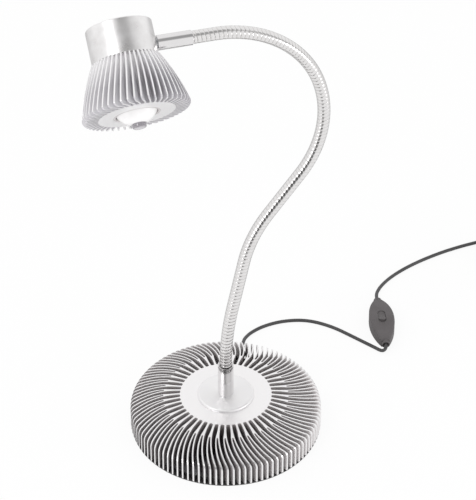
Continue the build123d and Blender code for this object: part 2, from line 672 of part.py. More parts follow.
def make_lens():
    """Domed lens with a bead on its tip, its conical holder above and the ring that keeps it in."""
    holder = post(LENS_R, LENS_SEAT, POCKET_ROOF)
    cone_low_r = LENS_R - LENS_RING_WALL
    cone_high_r = LED_BOARD_R + SLIP
    depth = POCKET_ROOF - LENS_SEAT
    holder -= Pos(0, 0, LENS_SEAT) * Cone(cone_low_r, cone_high_r, depth, align=LEVEL)
    add_head("lens_holder", holder)
    flange_low = LENS_SEAT - LENS_FLANGE_T
    dome_r = LENS_R - LENS_RING_WALL - SLIP
    ball_r = (dome_r ** 2 + LENS_DOME ** 2) / (2 * LENS_DOME)
    dome = Pos(0, 0, flange_low - LENS_DOME + ball_r) * Sphere(ball_r)
    dome &= post(dome_r, flange_low - LENS_DOME - OVERRUN, flange_low)
    apex = flange_low - LENS_DOME
    bead = post(BEAD_R, apex - BEAD_H, flange_low)
    bead = fillet(bead.edges().group_by(Axis.Z)[0], BEAD_ROUND)
    add_head("lens", dome + bead + post(LENS_R, flange_low, LENS_SEAT))
    add_head("lens_ring", tube(LENS_R, LENS_R - LENS_RING_WALL, BELL_LOW, flange_low))


def make_light():
    """LED board, emitter, screws, driver board with its parts, and the two LED leads."""
    board_low = POCKET_ROOF - LED_BOARD_T
    board = post(LED_BOARD_R, board_low, POCKET_ROOF)
    screws = []
    for side in (1, -1):
        place = Pos(0, side * BOARD_SCREW_OFFSET, 0)
        board -= place * post(BOARD_SCREW_R + THREAD_ROOM, board_low - OVERRUN, POCKET_ROOF + OVERRUN)
        head = post(BOARD_SCREW_HEAD_R, board_low - BOARD_SCREW_HEAD_T, board_low)
        screws.append(place * (head + post(BOARD_SCREW_R, board_low, board_low + BOARD_SCREW_L)))
    add_head("led_board", board)
    add_head("board_screws", Compound(children=screws))
    half = LED_W / 2
    emitter = block((-half, -half, board_low - LED_T), (half, half, board_low))
    dome = Pos(0, 0, board_low - LED_T) * Sphere(LED_DOME_R, arc_size2=0, align=HUNG)
    add_head("led_emitter", emitter + dome)
    driver_top = DRIVER_Z + DRIVER_T
    add_head("driver_board", post(DRIVER_R, DRIVER_Z, driver_top))
    choke = Pos(-CHIP_X, -CHIP_Y, 0) * post(CHOKE_R, driver_top, driver_top + CHOKE_T)
    chip = block((CHIP_X, CHIP_Y - CHIP_W, driver_top), (CHIP_X + CHIP_L, CHIP_Y, driver_top + CHIP_T))
    add_head("driver_parts", Compound(children=[choke, chip]))
    leads = [Pos(LEAD_X, side * LEAD_Y, 0) * post(LEAD_R, POCKET_ROOF, DRIVER_Z) for side in (1, -1)]
    add_head("led_leads", Compound(children=leads))


# Cord

def cord_tube(points, name):
    """Cord along a route, each corner rounded as far as its two runs allow."""
    points = [Vector(p) for p in points]
    radii = []
    for before, corner, after in zip(points, points[1:], points[2:]):
        turn = (corner - before).get_angle(after - corner)
        shorter = min((corner - before).length, (after - corner).length)
        radii.append(CORD_RADIUS_SHARE * shorter / math.tan(math.radians(turn / 2)))
    path = FilletPolyline(*points, radius=radii)
    section = Plane(origin=path @ 0, z_dir=path % 0) * Circle(CORD_R)
    solid = sweep(section, path=path)
    plain = math.pi * CORD_R ** 2 * path.length
    print(name, "length", round(path.length, 1), "volume share", round(solid.volume / plain, 4),
          "radii", [round(r, 1) for r in radii])
    nodes[name] = solid
    return path.length


def coil_point(turns):
    """Point of the coil after so many turns: in and out at one rate, climbing where it reverses."""
    radius = COIL_R_IN + COIL_STEP * abs(turns - COIL_TURNS_IN)
    climb = min(max((turns - COIL_TURNS_IN) / COIL_CLIMB + 0.5, 0.0), 1.0)
    angle = math.radians(COIL_START - 360.0 * turns)
    rise = climb * climb * (3 - 2 * climb)
    x = COIL_X + radius * math.cos(angle)
    y = COIL_Y + radius * math.sin(angle)
    return Vector(x, y, COIL_Z + COIL_LAYER * rise)


def biarc(start, start_way, end, end_way):
    """Two arcs that leave start and reach end along the given directions."""
    chord = end - start
    both = start_way + end_way
    a = 2 * (1 - start_way.dot(end_way))
    b = 2 * chord.dot(both)
    c = -chord.dot(chord)
    reach = (-b + math.sqrt(b * b - 4 * a * c)) / (2 * a)
    middle = (start + start_way * reach + end - end_way * reach) / 2
    first = Edge.make_tangent_arc(start, start_way, middle)
    second = Edge.make_tangent_arc(end, end_way * -1, middle)
    return [first, second.reversed()]


def coil_way(turns):
    """Direction of the coil after so many turns, level where it starts and ends."""
    near = 0.5 / GAP_STEPS
    way = coil_point(turns + near) - coil_point(turns - near)
    return way.normalized()


def coil_gap():
    """Least gap between the coil's turns, measured on points."""
    count = int(COIL_TURNS * GAP_STEPS)
    points = [coil_point(i / GAP_STEPS) for i in range(count + 1)]
    least = min((points[i] - points[j]).length
                for i in range(count + 1) for j in range(i + GAP_STEPS // 2, count + 1))
    return least - 2 * CORD_R


def make_coil():
    """Rest of the cord, wound in two layers, with straight ends one diameter long."""
    stops = [i / QUARTERS for i in range(int(COIL_TURNS * QUARTERS) + 1)]
    ways = [coil_way(t) for t in stops]
    ways[0] = Vector(1, 0, 0)
    ways[-1] = Vector(0, -1, 0)
    points = [coil_point(t) for t in stops]
    first = points[0] - ways[0] * 2 * CORD_R
    last = points[-1] + ways[-1] * 2 * CORD_R
    edges = [Line(first, points[0])]
    for i in range(len(stops) - 1):
        edges += biarc(points[i], ways[i], points[i + 1], ways[i + 1])
    edges.append(Line(points[-1], last))
    path = Wire(edges)
    solid = sweep(Plane(origin=first, z_dir=ways[0]) * Circle(CORD_R), path=path)
    plain = math.pi * CORD_R ** 2 * path.length
    print("cord_coil length", round(path.length, 1), "volume share", round(solid.volume / plain, 4),
          "least gap", round(coil_gap(), 2))
    nodes["cord_coil"] = solid
    return first, last, path.length


def make_tie():
    """Flat band round the coil's bundle, where the turns of both layers lie over each other."""
    out_r = COIL_R_OUT - COIL_STEP * TIE_TURNS
    in_r = COIL_R_IN + COIL_STEP * (COIL_TURNS_IN - TIE_TURNS) % COIL_STEP
    half_w = (out_r - in_r) / 2 + CORD_R + TIE_ROOM
    height = COIL_LAYER + 2 * CORD_R + TIE_ROOM
    low = COIL_Z - CORD_R - SLIP
    hole = block((-half_w, -TIE_W, low), (half_w, TIE_W, low + height))
    band = block((-half_w - TIE_T, -TIE_W / 2, low - TIE_T),
                 (half_w + TIE_T, TIE_W / 2, low + height + TIE_T))
    band = fillet(band.edges().filter_by(Axis.Y), CORD_R)
    band -= fillet(hole.edges().filter_by(Axis.Y), CORD_R - TIE_T + SLIP)
    turn = Rot(0, 0, COIL_START - 360.0 * TIE_TURNS)
    nodes["coil_tie"] = Pos(COIL_X, COIL_Y, 0) * turn * Pos((out_r + in_r) / 2, 0, 0) * band


# Switch, built on +X from its near end to its far end

def switch_place():
    """Where the switch lies on the desk."""
    return Pos(SWITCH_X, SWITCH_Y, 0) * Rot(0, 0, SWITCH_TURN)


def switch_point(x, z):
    """Point on the switch's middle line."""
    turn = math.radians(SWITCH_TURN)
    return (SWITCH_X + x * math.cos(turn), SWITCH_Y + x * math.sin(turn), z)


def leaf(inset):
    """Leaf outline of the switch, drawn in by an inset."""
    end, half_w, end_w = SWITCH_L / 2 - inset, SWITCH_W / 2 - inset, SWITCH_END_W / 2 - inset
    return make_face([ThreePointArc((-end, end_w), (0, half_w), (end, end_w)),
                      Line((end, end_w), (end, -end_w)),
                      ThreePointArc((end, -end_w), (0, -half_w), (-end, -end_w)),
                      Line((-end, -end_w), (-end, end_w))])


def crowned(inset):
    """Switch body, flat below and crowned along its length above."""
    end, low = SWITCH_L / 2, inset
    high, end_high = SWITCH_H - inset, SWITCH_END_H - inset
    side = make_face([Line((-end, low), (end, low)),
                      Line((end, low), (end, end_high)),
                      ThreePointArc((end, end_high), (0, high), (-end, end_high)),
                      Line((-end, end_high), (-end, low))])
    wall = extrude(Plane.XZ * side, SWITCH_W, both=True)
    return extrude(leaf(inset), SWITCH_H) & wall


def switch_body():
    """Whole switch with rounded edges and a round collar at each end."""
    body = crowned(0)
    rims = body.edges().filter_by(lambda e: abs(e.center().Z) < FIT or e.center().Z > SWITCH_END_H - FIT)
    body = fillet(rims, SWITCH_ROUND)
    body -= crowned(SWITCH_WALL)
    for side in (1, -1):
        collar = lying(post(COLLAR_R, SWITCH_L / 2 - SWITCH_WALL, SWITCH_FACE_X))
        body += Rot(0, 0, 90 - 90 * side) * Pos(0, 0, SWITCH_SPLIT_Z) * collar
    for side in (1, -1):
        bore = post(COLLAR_BORE_R, SWITCH_L / 2 - SWITCH_WALL - OVERRUN, SWITCH_FACE_X + OVERRUN)
        flare = Cone(COLLAR_BORE_R, COLLAR_FLARE_R, COLLAR_FLARE_L, align=LEVEL)
        bore += Pos(0, 0, SWITCH_FACE_X - COLLAR_FLARE_L) * flare
        body -= Rot(0, 0, 90 - 90 * side) * Pos(0, 0, SWITCH_SPLIT_Z) * lying(bore)
    return body


def switch_screw_places():
    """Places of the two switch screws, on a diagonal."""
    return [Pos(side * SWITCH_SCREW_X, side * SWITCH_SCREW_Y, 0) for side in (1, -1)]


def make_switch():
    """Two shells, rocker with its contact bridge, terminals and screws."""
    body = switch_body()
    half = SWITCH_L
    lower = body & block((-half, -half, 0), (half, half, SWITCH_SPLIT_Z))
    upper = body & block((-half, -half, SWITCH_SPLIT_Z), (half, half, SWITCH_H + OVERRUN))
    boss_top = SWITCH_END_H - SWITCH_WALL / 2
    floor = SWITCH_WALL
    thread_r = SWITCH_SCREW_R + THREAD_ROOM
    screws = []
    for place in switch_screw_places():
        upper += place * post(SWITCH_BOSS_R, SWITCH_SPLIT_Z, boss_top)
        upper -= place * post(thread_r, SWITCH_SPLIT_Z - OVERRUN, boss_top - SWITCH_WALL / 2)
        lower += place * post(SWITCH_BOSS_R, floor / 2, SWITCH_SPLIT_Z)
        lower -= place * post(thread_r, -OVERRUN, SWITCH_SPLIT_Z + OVERRUN)
        lower -= place * post(SWITCH_SCREW_HEAD_R + SLIP, -OVERRUN, SWITCH_SCREW_HEAD_T)
        screw = post(SWITCH_SCREW_HEAD_R, 0, SWITCH_SCREW_HEAD_T)
        screws.append(place * (screw + post(SWITCH_SCREW_R, 0, boss_top - SWITCH_WALL)))

    window_l = ROCKER_L / 2 + WINDOW_ROOM_L
    window_w = ROCKER_W / 2 + WINDOW_ROOM_W
    pivot_high = ROCKER_Z + PIVOT_R + SWITCH_WALL
    for side in (1, -1):
        inner, outer = sorted((side * window_w, side * (window_w + CHEEK_T)))
        cheek = block((ROCKER_X - CHEEK_L / 2, inner, ROCKER_Z - PIVOT_R - SWITCH_WALL),
                      (ROCKER_X + CHEEK_L / 2, outer, pivot_high))
        upper += cheek & crowned(SWITCH_WALL / 2)
    window = RectangleRounded(2 * window_l, 2 * window_w, ROCKER_ROUND + WINDOW_ROOM_W)
    upper -= Pos(ROCKER_X, 0, SWITCH_SPLIT_Z) * extrude(window, SWITCH_H)
    pivot_room = ROCKER_W / 2 + PIVOT_L + SLIP
    hole = Cylinder(PIVOT_R + FIT, 2 * pivot_room)
    upper -= Pos(ROCKER_X, 0, ROCKER_Z) * Rot(90, 0, 0) * hole
    nodes["switch_top"] = switch_place() * upper
    nodes["switch_bottom"] = switch_place() * lower
    nodes["switch_screws"] = Compound(children=[switch_place() * s for s in screws])

    tilt = switch_place() * Pos(ROCKER_X, 0, ROCKER_Z) * Rot(0, ROCKER_TILT, 0)
    end = ROCKER_L / 2
    near, far = (-end, ROCKER_END_RISE), (end, ROCKER_END_RISE)
    foot_near, foot_far = (-PIVOT_R, -ROCKER_FOOT), (PIVOT_R, -ROCKER_FOOT)
    skirt = Polyline(near, (-end, -PIVOT_R), foot_near, foot_far, (end, -PIVOT_R), far)
    outline = make_face([skirt, ThreePointArc(far, (0, ROCKER_MID_RISE), near)])
    rocker = extrude(Plane.XZ * outline, ROCKER_W / 2, both=True)
    rocker &= extrude(RectangleRounded(ROCKER_L, ROCKER_W, ROCKER_ROUND), SWITCH_H, both=True)
    rocker += Rot(90, 0, 0) * Cylinder(PIVOT_R, ROCKER_W + 2 * PIVOT_L)
    nodes["switch_rocker"] = tilt * rocker
    reach = BRIDGE_L / 2
    drop = ROCKER_FOOT + BRIDGE_T
    bridge = block((-reach, -BRIDGE_W / 2, -drop), (reach, BRIDGE_W / 2, -ROCKER_FOOT))
    nodes["contact_bridge"] = tilt * bridge

    strips = []
    half_w = TERMINAL_W / 2
    lean = math.radians(ROCKER_TILT)
    touch = drop * math.cos(lean) + reach * math.sin(lean)
    strip = block((reach - TERMINAL_T, -half_w, floor), (reach + TERMINAL_L, half_w, floor + TERMINAL_T))
    strip += block((reach - TERMINAL_T, -half_w, floor), (reach, half_w, ROCKER_Z - touch - CONTACT_ROOM))
    for side in (1, -1):
        strips.append(switch_place() * Pos(ROCKER_X, 0, 0) * Rot(0, 0, 90 - 90 * side) * strip)
    nodes["switch_terminals"] = Compound(children=strips)


# USB plug, built on +X from its boot's tip

def make_plug(tip_x):
    """Moulded grip with boot, steel shell, tongue and contacts."""
    place = Pos(tip_x, PLUG_Y, PLUG_Z) * Rot(0, 0, -90)
    grip_end = PLUG_BOOT_L + GRIP_L
    grip = block((PLUG_BOOT_L, -GRIP_W / 2, -GRIP_H / 2), (grip_end, GRIP_W / 2, GRIP_H / 2))
    grip = fillet(grip.edges().filter_by(Axis.X), GRIP_ROUND)
    boot = lying(Cone(CORD_R + BOOT_TIP_WALL, GRIP_H / 2 - SLIP, PLUG_BOOT_L, align=LEVEL))
    shell_x = grip_end - SHELL_GRIPPED
    pocket = block((shell_x, -SHELL_W / 2 - THREAD_ROOM, -SHELL_H / 2 - THREAD_ROOM),
                   (grip_end + OVERRUN, SHELL_W / 2 + THREAD_ROOM, SHELL_H / 2 + THREAD_ROOM))
    bore = lying(post(CORD_R + SLIP, -OVERRUN, shell_x + OVERRUN))
    nodes["usb_grip"] = place * (grip + boot - pocket - bore)
    shell_end = shell_x + SHELL_L
    in_w, in_h = SHELL_W / 2 - SHELL_WALL, SHELL_H / 2 - SHELL_WALL
    shell = block((shell_x, -SHELL_W / 2, -SHELL_H / 2), (shell_end, SHELL_W / 2, SHELL_H / 2))
    shell -= block((shell_x - OVERRUN, -in_w, -in_h), (shell_end + OVERRUN, in_w, in_h))
    hole_x = shell_end - SHELL_HOLE_X
    for side in (1, -1):
        shell -= Pos(hole_x, side * SHELL_HOLE_Y, 0) * Box(SHELL_HOLE, SHELL_HOLE, SHELL_H + OVERRUN)
    nodes["usb_shell"] = place * shell
    tongue_w = in_w - THREAD_ROOM
    tongue_low = -in_h
    tongue = block((shell_x, -tongue_w, tongue_low),
                   (shell_end - TONGUE_SHORT, tongue_w, tongue_low + TONGUE_T))
    nodes["usb_tongue"] = place * tongue
    contacts = []
    contact_end = shell_end - TONGUE_SHORT - CONTACT_W
    for i in range(CONTACTS):
        y = (i - (CONTACTS - 1) / 2) * CONTACT_PITCH
        low = tongue_low + TONGUE_T
        contacts.append(place * block((contact_end - CONTACT_L, y - CONTACT_W / 2, low),
                                      (contact_end, y + CONTACT_W / 2, low + CONTACT_T)))
    nodes["usb_contacts"] = Compound(children=contacts)
    return Vector(tip_x, PLUG_Y, PLUG_Z)


def make_cords():
    """Cord from the foot to the switch, on to the coil, and from the coil to the plug."""
    near_in = switch_point(-SWITCH_L / 2, SWITCH_SPLIT_Z)
    near_out = switch_point(-SWITCH_FACE_X, SWITCH_SPLIT_Z)
    far_in = switch_point(SWITCH_L / 2, SWITCH_SPLIT_Z)
    far_out = switch_point(SWITCH_FACE_X, SWITCH_SPLIT_Z)
    coil_start, coil_end, total = make_coil()
    plug_tip = make_plug(coil_end.X - CORD_R)
    lead = [BOOT_TIP, BOOT_TIP + EXIT_WAY * CORD_STUB, *LEAD_ROUTE, near_out, near_in]
    tail = [far_in, far_out, *TAIL_ROUTE, coil_start - Vector(COIL_RUN_IN, 0, 0), coil_start]
    end = [coil_end, coil_end - Vector(0, CORD_STUB, 0), plug_tip + Vector(0, CORD_STUB, 0), plug_tip]
    for name, route in (("cord_lead", lead), ("cord_tail", tail), ("cord_end", end)):
        total += cord_tube(route, name)
    print("cord length", round(total, 1))
    make_tie()


def build():
    """Make every piece and write it to its own file."""
    make_foot()
    make_neck_seat()
    make_grommet()
    make_neck()
    make_head_joint()
    make_cap()
    make_head_sink()
    make_lens()
    make_light()
    make_switch()
    make_cords()
    os.makedirs("parts", exist_ok=True)
    for name, shape in nodes.items():
        shape.label = name
        export_step(shape, f"parts/{name}.step")


build()
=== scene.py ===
import math

import bpy
import numpy as np
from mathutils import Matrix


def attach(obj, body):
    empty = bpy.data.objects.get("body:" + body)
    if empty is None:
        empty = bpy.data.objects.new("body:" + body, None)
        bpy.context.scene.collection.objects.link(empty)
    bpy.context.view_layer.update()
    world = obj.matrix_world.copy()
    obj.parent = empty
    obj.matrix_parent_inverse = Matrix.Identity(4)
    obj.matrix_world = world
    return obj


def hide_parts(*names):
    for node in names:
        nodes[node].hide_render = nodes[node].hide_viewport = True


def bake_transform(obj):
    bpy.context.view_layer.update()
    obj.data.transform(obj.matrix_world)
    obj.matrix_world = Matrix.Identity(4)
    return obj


# Desk lamp with a finned foot, a gooseneck, a finned head and a USB cord with a switch.
# Lengths are written in millimetres, as in the solids, and leave here in metres.

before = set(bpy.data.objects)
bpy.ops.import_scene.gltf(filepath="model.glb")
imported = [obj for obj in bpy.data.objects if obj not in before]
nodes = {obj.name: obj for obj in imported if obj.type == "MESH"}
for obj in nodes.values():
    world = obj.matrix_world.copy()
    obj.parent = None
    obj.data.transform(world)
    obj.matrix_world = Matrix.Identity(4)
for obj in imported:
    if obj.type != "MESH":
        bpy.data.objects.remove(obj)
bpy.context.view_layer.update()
MM = 0.001
UP = np.array([0.0, 0.0, 1.0])

# Foot: the turned shape that the slots are cut from
FOOT_R = 75.0
FOOT_ROUND = 4.5
SHOULDER_Z = 18.8
HUB_R = 36.25
HUB_Z = 28.2
CROWN = 1.4                 # how far the top swells between hub and shoulder

# Neck: turn in degrees and radius of each bend, or zero and the length of a straight
MOUTH_H = 30.6              # height of the base ferrule's mouth above the hub
NECK_Z = HUB_Z + MOUTH_H
NECK_YAW = math.radians(15.6)
NECK_RUNS = ((11.6, 285.0), (0, 43.2), (25.0, 108.6), (0, 39.8), (-55.2, 91.0), (-71.4, 82.2), (0, 17.0))
NECK_TOP = sum(abs(math.radians(turn)) * size if turn else size for turn, size in NECK_RUNS)
NECK_IN_BASE = 18.0         # how far the winding goes into the base ferrule
NECK_IN_HEAD = 13.0         # how far it goes into the head ferrule
SIDE = np.array([math.cos(NECK_YAW), math.sin(NECK_YAW), 0.0])
BACK = np.array([-math.sin(NECK_YAW), math.cos(NECK_YAW), 0.0])

# Winding of the neck
WIND_R = 4.8
WIND_LOW_R = 4.66           # between two ribs
WIND_PRESSED_R = 4.36       # in the head ferrule, where the ribs are pressed flat
WIND_PRESS = 0.6            # length over which they flatten, and gap from there to the ferrule's mouth
WIND_BORE_R = 3.0
WIND_PITCH = 3.2
WIND_RIB_SHARE = 0.96       # share of the pitch that a rib takes
WIND_FLAT = 4               # power of a rib's profile, more is flatter
WIND_ROWS = 20              # rows of points on a pitch
WIND_COLUMNS = 40
BORE_ROWS = 24
FIRST_JOINT = 40.0
LENGTH_STEP = 44.8
JOINTS = ("lower_bend", "lower_sway", "lower_bend_2", "lower_sway_2",
          "upper_bend", "upper_sway", "upper_bend_2", "upper_sway_2")

# Head: its place and the turned bell that the slots are cut from, along its own axis
HEAD_REACH = 50.05          # from the neck's end to the head's axis
HEAD_ROLL = math.radians(51.6)
HEAD_UP = UP * math.cos(HEAD_ROLL) + BACK * math.sin(HEAD_ROLL)
BELL_TOP = -9.2
BELL_H = 40.1
BELL_TOP_R = 24.6
BELL_MID_R = 33.8
BELL_R = 39.8
BELL_ROUND = 2.6
PAINTED_LIGHT_FULL = 4.0             # depth below the bell's top where the painted light on its slots is full
PAINTED_LIGHT_END = 24.0             # depth from which its slots get no painted light
LENS_TIP = -57.0            # tip of the lens's dome, where its bead starts
BEAD_FROM = 1.1             # height above the tip where the polish of the bead starts
BEAD_FULL = 0.8             # height above the tip where it is full
BEAD_CLEAR_R = 3.6          # clear middle of the bead
BEAD_SHADED_EDGE_R = 4.8           # its edge, greyed with painted shade

# Cord, from the boot's tip to the switch and from the switch over the coil to the plug
CORD_R = 1.4
EXIT_TURN = math.radians(8.8)
EXIT_WAY = np.array([math.sin(EXIT_TURN), math.cos(EXIT_TURN), 0.0])
BOOT_REACH = 84.5
BOOT_Z = 5.0
BOOT_RUN = 6.0              # straight run out of the boot
BOOT_TIP = EXIT_WAY * BOOT_REACH + UP * BOOT_Z
SWITCH_AT = np.array([127.2, 113.4, 5.2])
SWITCH_TURN = math.radians(95.0)
SWITCH_WAY = np.array([math.cos(SWITCH_TURN), math.sin(SWITCH_TURN), 0.0])
SWITCH_IN = 25.5            # from the switch's middle to the cord's end in its mouth
SWITCH_OUT = 28.1           # from its middle to where the cord is free
LEAD_ROUTE = ((15.4, 97.2, 2.6), (20.6, 105.6, 1.4), (31.0, 113.6, 1.4), (47.0, 119.9, 1.4),
              (66.5, 121.0, 1.4), (86.5, 112.8, 1.4), (104.0, 99.4, 1.4), (113.0, 92.4, 1.4),
              (120.4, 86.6, 1.5), (125.2, 82.0, 2.0), (127.8, 81.0, 2.8), (129.6, 82.9, 3.9))
TAIL_ROUTE = ((124.2, 148.5, 3.6), (125.0, 156.0, 2.0), (129.2, 165.6, 1.4), (137.5, 176.5, 1.4),
              (150.0, 188.2, 1.4), (166.0, 199.8, 1.4), (184.0, 210.4, 1.4), (203.0, 219.2, 1.4),
              (223.2, 225.625, 2.2))
COIL_AT = np.array([238.0, 202.4, 2.2])
COIL_R_IN = 9.2
COIL_STEP = 3.3
COIL_LAYER = 3.35
COIL_TURNS_IN = 4.25
COIL_TURNS = 8.25
COIL_CLIMB = 0.5            # share of a turn in which the coil climbs a layer
COIL_POINTS = 12            # control points on a turn
PLUG_ROUTE = ((260.4, 199.6, 5.55), (260.4, 193.6, 5.55), (259.0, 187.2, 4.2), (259.0, 181.2, 4.2))
CORD_STEPS = 8              # steps between two control points
CORD_SIDES = 5              # bevel steps in a quarter of the cord's round

# Marks on the finishes
SAW_MARK = 1.5              # about 0.6 on real metal, drawn coarser so that it shows
TOOL_MARK = 0.7             # about 0.2 on real metal, drawn coarser so that it shows
EDGE_DEPTHS = (0.08, 0.22)  # depths between which a turned face gives way to a slot's wall
PAINTED_DEPTHS = (0.5, 8.0)    # depths over which a slot wall's colour goes to its second colour: painted shade in the foot, painted light in the bell
SATIN_CLOUD = 9.0
WINDING_CLOUD = 5.0
FROST_CLOUD = 3.0
COLOUR_DRIFT = 14.0
SATIN_RANGE = (0.3, 0.7)    # noise values between which satin metal goes from one colour to the other
DRIFT_RANGE = (0.45, 0.9)   # the same for moulded pieces
GRAIN_SHARE = 0.35          # share of the grain in the drift of their colour
GROOVE_SHADE_RANGE = (0.55, 0.95)    # how low between two ribs the painted shade starts, and where it is full

# Roughness of the finishes, and what slot walls, marks, clouds, grooves and grain add to it at most
TURNED_ROUGH = 0.30
WALL_ROUGHER = 0.12
SAW_ROUGHER = 0.12
SATIN_ROUGHER = 0.14
RIB_ROUGH = 0.15
GROOVE_ROUGHER = 0.10
GRAIN_ROUGHER = 0.16
FROST_ROUGH = 0.32
BEAD_ROUGH = 0.12

# Room as bright metal mirrors it. Bearings are in radians and rise to the right of the camera's side.
# A band is its middle, the distance within which it is full, and the larger one at which it ends.
# A loss is the share of the light that a place takes away.
GAP_BAND = (-0.26, 0.26, 0.40)      # dark gap left of the camera
GAP_LOSS = 0.92
WALL_BAND = (1.30, 0.12, 0.30)      # dim wall to the right
WALL_LOSS = 0.55
WALL_RISE = (0.80, 0.68)            # rise of a direction where gap and wall end, and where they are full
SCREEN_WAY = (0.19, -0.32, 0.93)    # grey screen high on the right
SCREEN_EDGE = (0.86, 0.97)          # cosine at the screen's edge, and where it is full
SCREEN_LOSS = 0.6
DESK_BAND = (-0.17, 0.26, 0.40)     # dark stretch of desk towards the camera
DESK_REACH = (250.0, 550.0)         # where that stretch starts, and where it is full
DESK_LOSS = 0.9
BEHIND_BAND = (math.pi, 0.7, 1.5)   # dim stretch of desk behind the lamp
BEHIND_LOSS = 0.35
PAPER_SHARE = 0.9                   # share of plain white in the paper that the eye and mirrors see
AMBIENT = 0.95
FLOOR_HALF = 4000.0

# Lamps: place, aim, width, and power in watts
LAMPS = {
    "key_left": ((-1200.0, -1150.0, 1900.0), (0.0, 0.0, 200.0), 450.0, 7.0),
    "fill_left": ((-1100.0, -1150.0, 150.0), (-50.0, 0.0, 330.0), 600.0, 3.5),
    "glare_right": ((1400.0, -650.0, 250.0), (0.0, 0.0, 20.0), 500.0, 4.0),
}

# Camera, from the lamp's middle
CAMERA_AT = (9.552, -1708.803, 1559.140)
CAMERA_DIP = math.radians(39.038)
CAMERA_LENS = 210.42
CAMERA_SENSOR = 36.0
CAMERA_SIGHT = 20000.0


def linear(code):
    """Linear colour of an sRGB hex value: ((c + 0.055) / 1.055) ** 2.4, and c / 12.92 near black."""
    srgb = np.array([int(code[i:i + 2], 16) for i in (0, 2, 4)]) / 255.0
    value = np.where(srgb <= 0.04045, srgb / 12.92, ((srgb + 0.055) / 1.055) ** 2.4)
    return [*value.tolist(), 1.0]


def add(tree, kind, inputs=None, **settings):
    """Add a shader node with its settings, and set or link each of its inputs."""
    node = tree.nodes.new("ShaderNode" + kind)
    for key, value in settings.items():
        setattr(node, key, value)
    for key, value in (inputs or {}).items():
        if isinstance(value, bpy.types.NodeSocket):
            tree.links.new(value, node.inputs[key])
        else:
            node.inputs[key].default_value = value
    return node


def new_finish(name, **constants):
    """New material, its shader's constant inputs set by name, its node tree and its shader."""
    made = bpy.data.materials.new(name)
    made.use_nodes = True
    tree = made.node_tree
    shader = tree.nodes["Principled BSDF"]
    for key, value in constants.items():
        shader.inputs[key.replace("_", " ").title().replace("Ior", "IOR")].default_value = value
    return made, tree, shader


def neck_line(s):
    """Centre points and directions of the neck at distances s above the base ferrule's mouth.
    Run by run, a straight adds its length along the heading, and a bend of radius R from heading a to b
    adds R (cos a - cos b) sideways and R (sin b - sin a) upwards."""
    side = np.zeros_like(s)
    up = NECK_Z + np.minimum(s, 0.0)
    heading = np.zeros_like(s)
    left = np.maximum(s, 0.0)
    for turn, size in NECK_RUNS:
        length = abs(math.radians(turn)) * size if turn else size
        step = np.minimum(left, length)
        if turn:
            reach = math.copysign(size, turn)
            ahead = heading + step / reach
            side = side + reach * (np.cos(heading) - np.cos(ahead))
            up = up + reach * (np.sin(ahead) - np.sin(heading))
            heading = ahead
        else:
            side = side + step * np.sin(heading)
            up = up + step * np.cos(heading)
        left = left - step
    side = side + left * np.sin(heading)
    up = up + left * np.cos(heading)
    points = side[:, None] * SIDE + up[:, None] * UP
    ways = np.sin(heading)[:, None] * SIDE + np.cos(heading)[:, None] * UP
    return points, ways


HEAD_AT = neck_line(np.array([NECK_TOP]))[0][0] - SIDE * HEAD_REACH


# Places on the object, as nodes

def below_arc(tree, radius, height, first, middle, last):
    """Depth below an arc through three points of radius and height in millimetres: with c the arc's centre
    and A its radius, depth = A - |(r, z) - c|."""
    first, middle, last = (np.array(p) * MM for p in (first, middle, last))
    system = 2 * np.array([middle - first, last - first])
    centre = np.linalg.solve(system, [middle @ middle - first @ first, last @ last - first @ first])
    spot = add(tree, "CombineXYZ", {0: radius, 1: height}).outputs[0]
    far = add(tree, "VectorMath", {0: spot, 1: (*centre, 0.0)}, operation="DISTANCE").outputs["Value"]
    arc = np.linalg.norm(first - centre)
    return add(tree, "Math", {0: arc, 1: far}, operation="SUBTRACT").outputs[0]


def rounded_depth(tree, first, second, corner):
    """Depth below two faces that meet in a rounded corner of radius R: with a and b the depths below them,
    depth = R - |(max(R - a, 0), max(R - b, 0))|."""
    reach = []
    for depth in (first, second):
        left = add(tree, "Math", {0: corner, 1: depth}, operation="SUBTRACT").outputs[0]
        reach.append(add(tree, "Math", {0: left, 1: 0.0}, operation="MAXIMUM").outputs[0])
    both = add(tree, "CombineXYZ", {0: reach[0], 1: reach[1]}).outputs[0]
    length = add(tree, "VectorMath", {0: both}, operation="LENGTH").outputs["Value"]
    return add(tree, "Math", {0: corner, 1: length}, operation="SUBTRACT").outputs[0]


def foot_axes(tree, place):
    """Height above the desk and distance from the foot's axis, in metres."""
    flat = add(tree, "VectorMath", {0: place, 1: (1, 1, 0)}, operation="MULTIPLY").outputs[0]
    radius = add(tree, "VectorMath", {0: flat}, operation="LENGTH").outputs["Value"]
    return add(tree, "SeparateXYZ", {0: place}).outputs["Z"], radius


def foot_radius(tree, place):
    """Distance from the foot's axis."""
    return foot_axes(tree, place)[1]


def foot_depth(tree, place):
    """Depth below the foot's flat hub, turned top and rim, in metres."""
    height, radius = foot_axes(tree, place)
    crown = ((HUB_R + FOOT_R) / 2, (HUB_Z + SHOULDER_Z) / 2 + CROWN)
    below_top = below_arc(tree, radius, height, (HUB_R, HUB_Z), crown, (FOOT_R, SHOULDER_Z))
    below_hub = add(tree, "Math", {0: HUB_Z * MM, 1: height}, operation="SUBTRACT").outputs[0]
    below_top = add(tree, "Math", {0: below_top, 1: below_hub}, operation="MINIMUM").outputs[0]
    below_rim = add(tree, "Math", {0: FOOT_R * MM, 1: radius}, operation="SUBTRACT").outputs[0]
    return rounded_depth(tree, below_rim, below_top, FOOT_ROUND * MM)


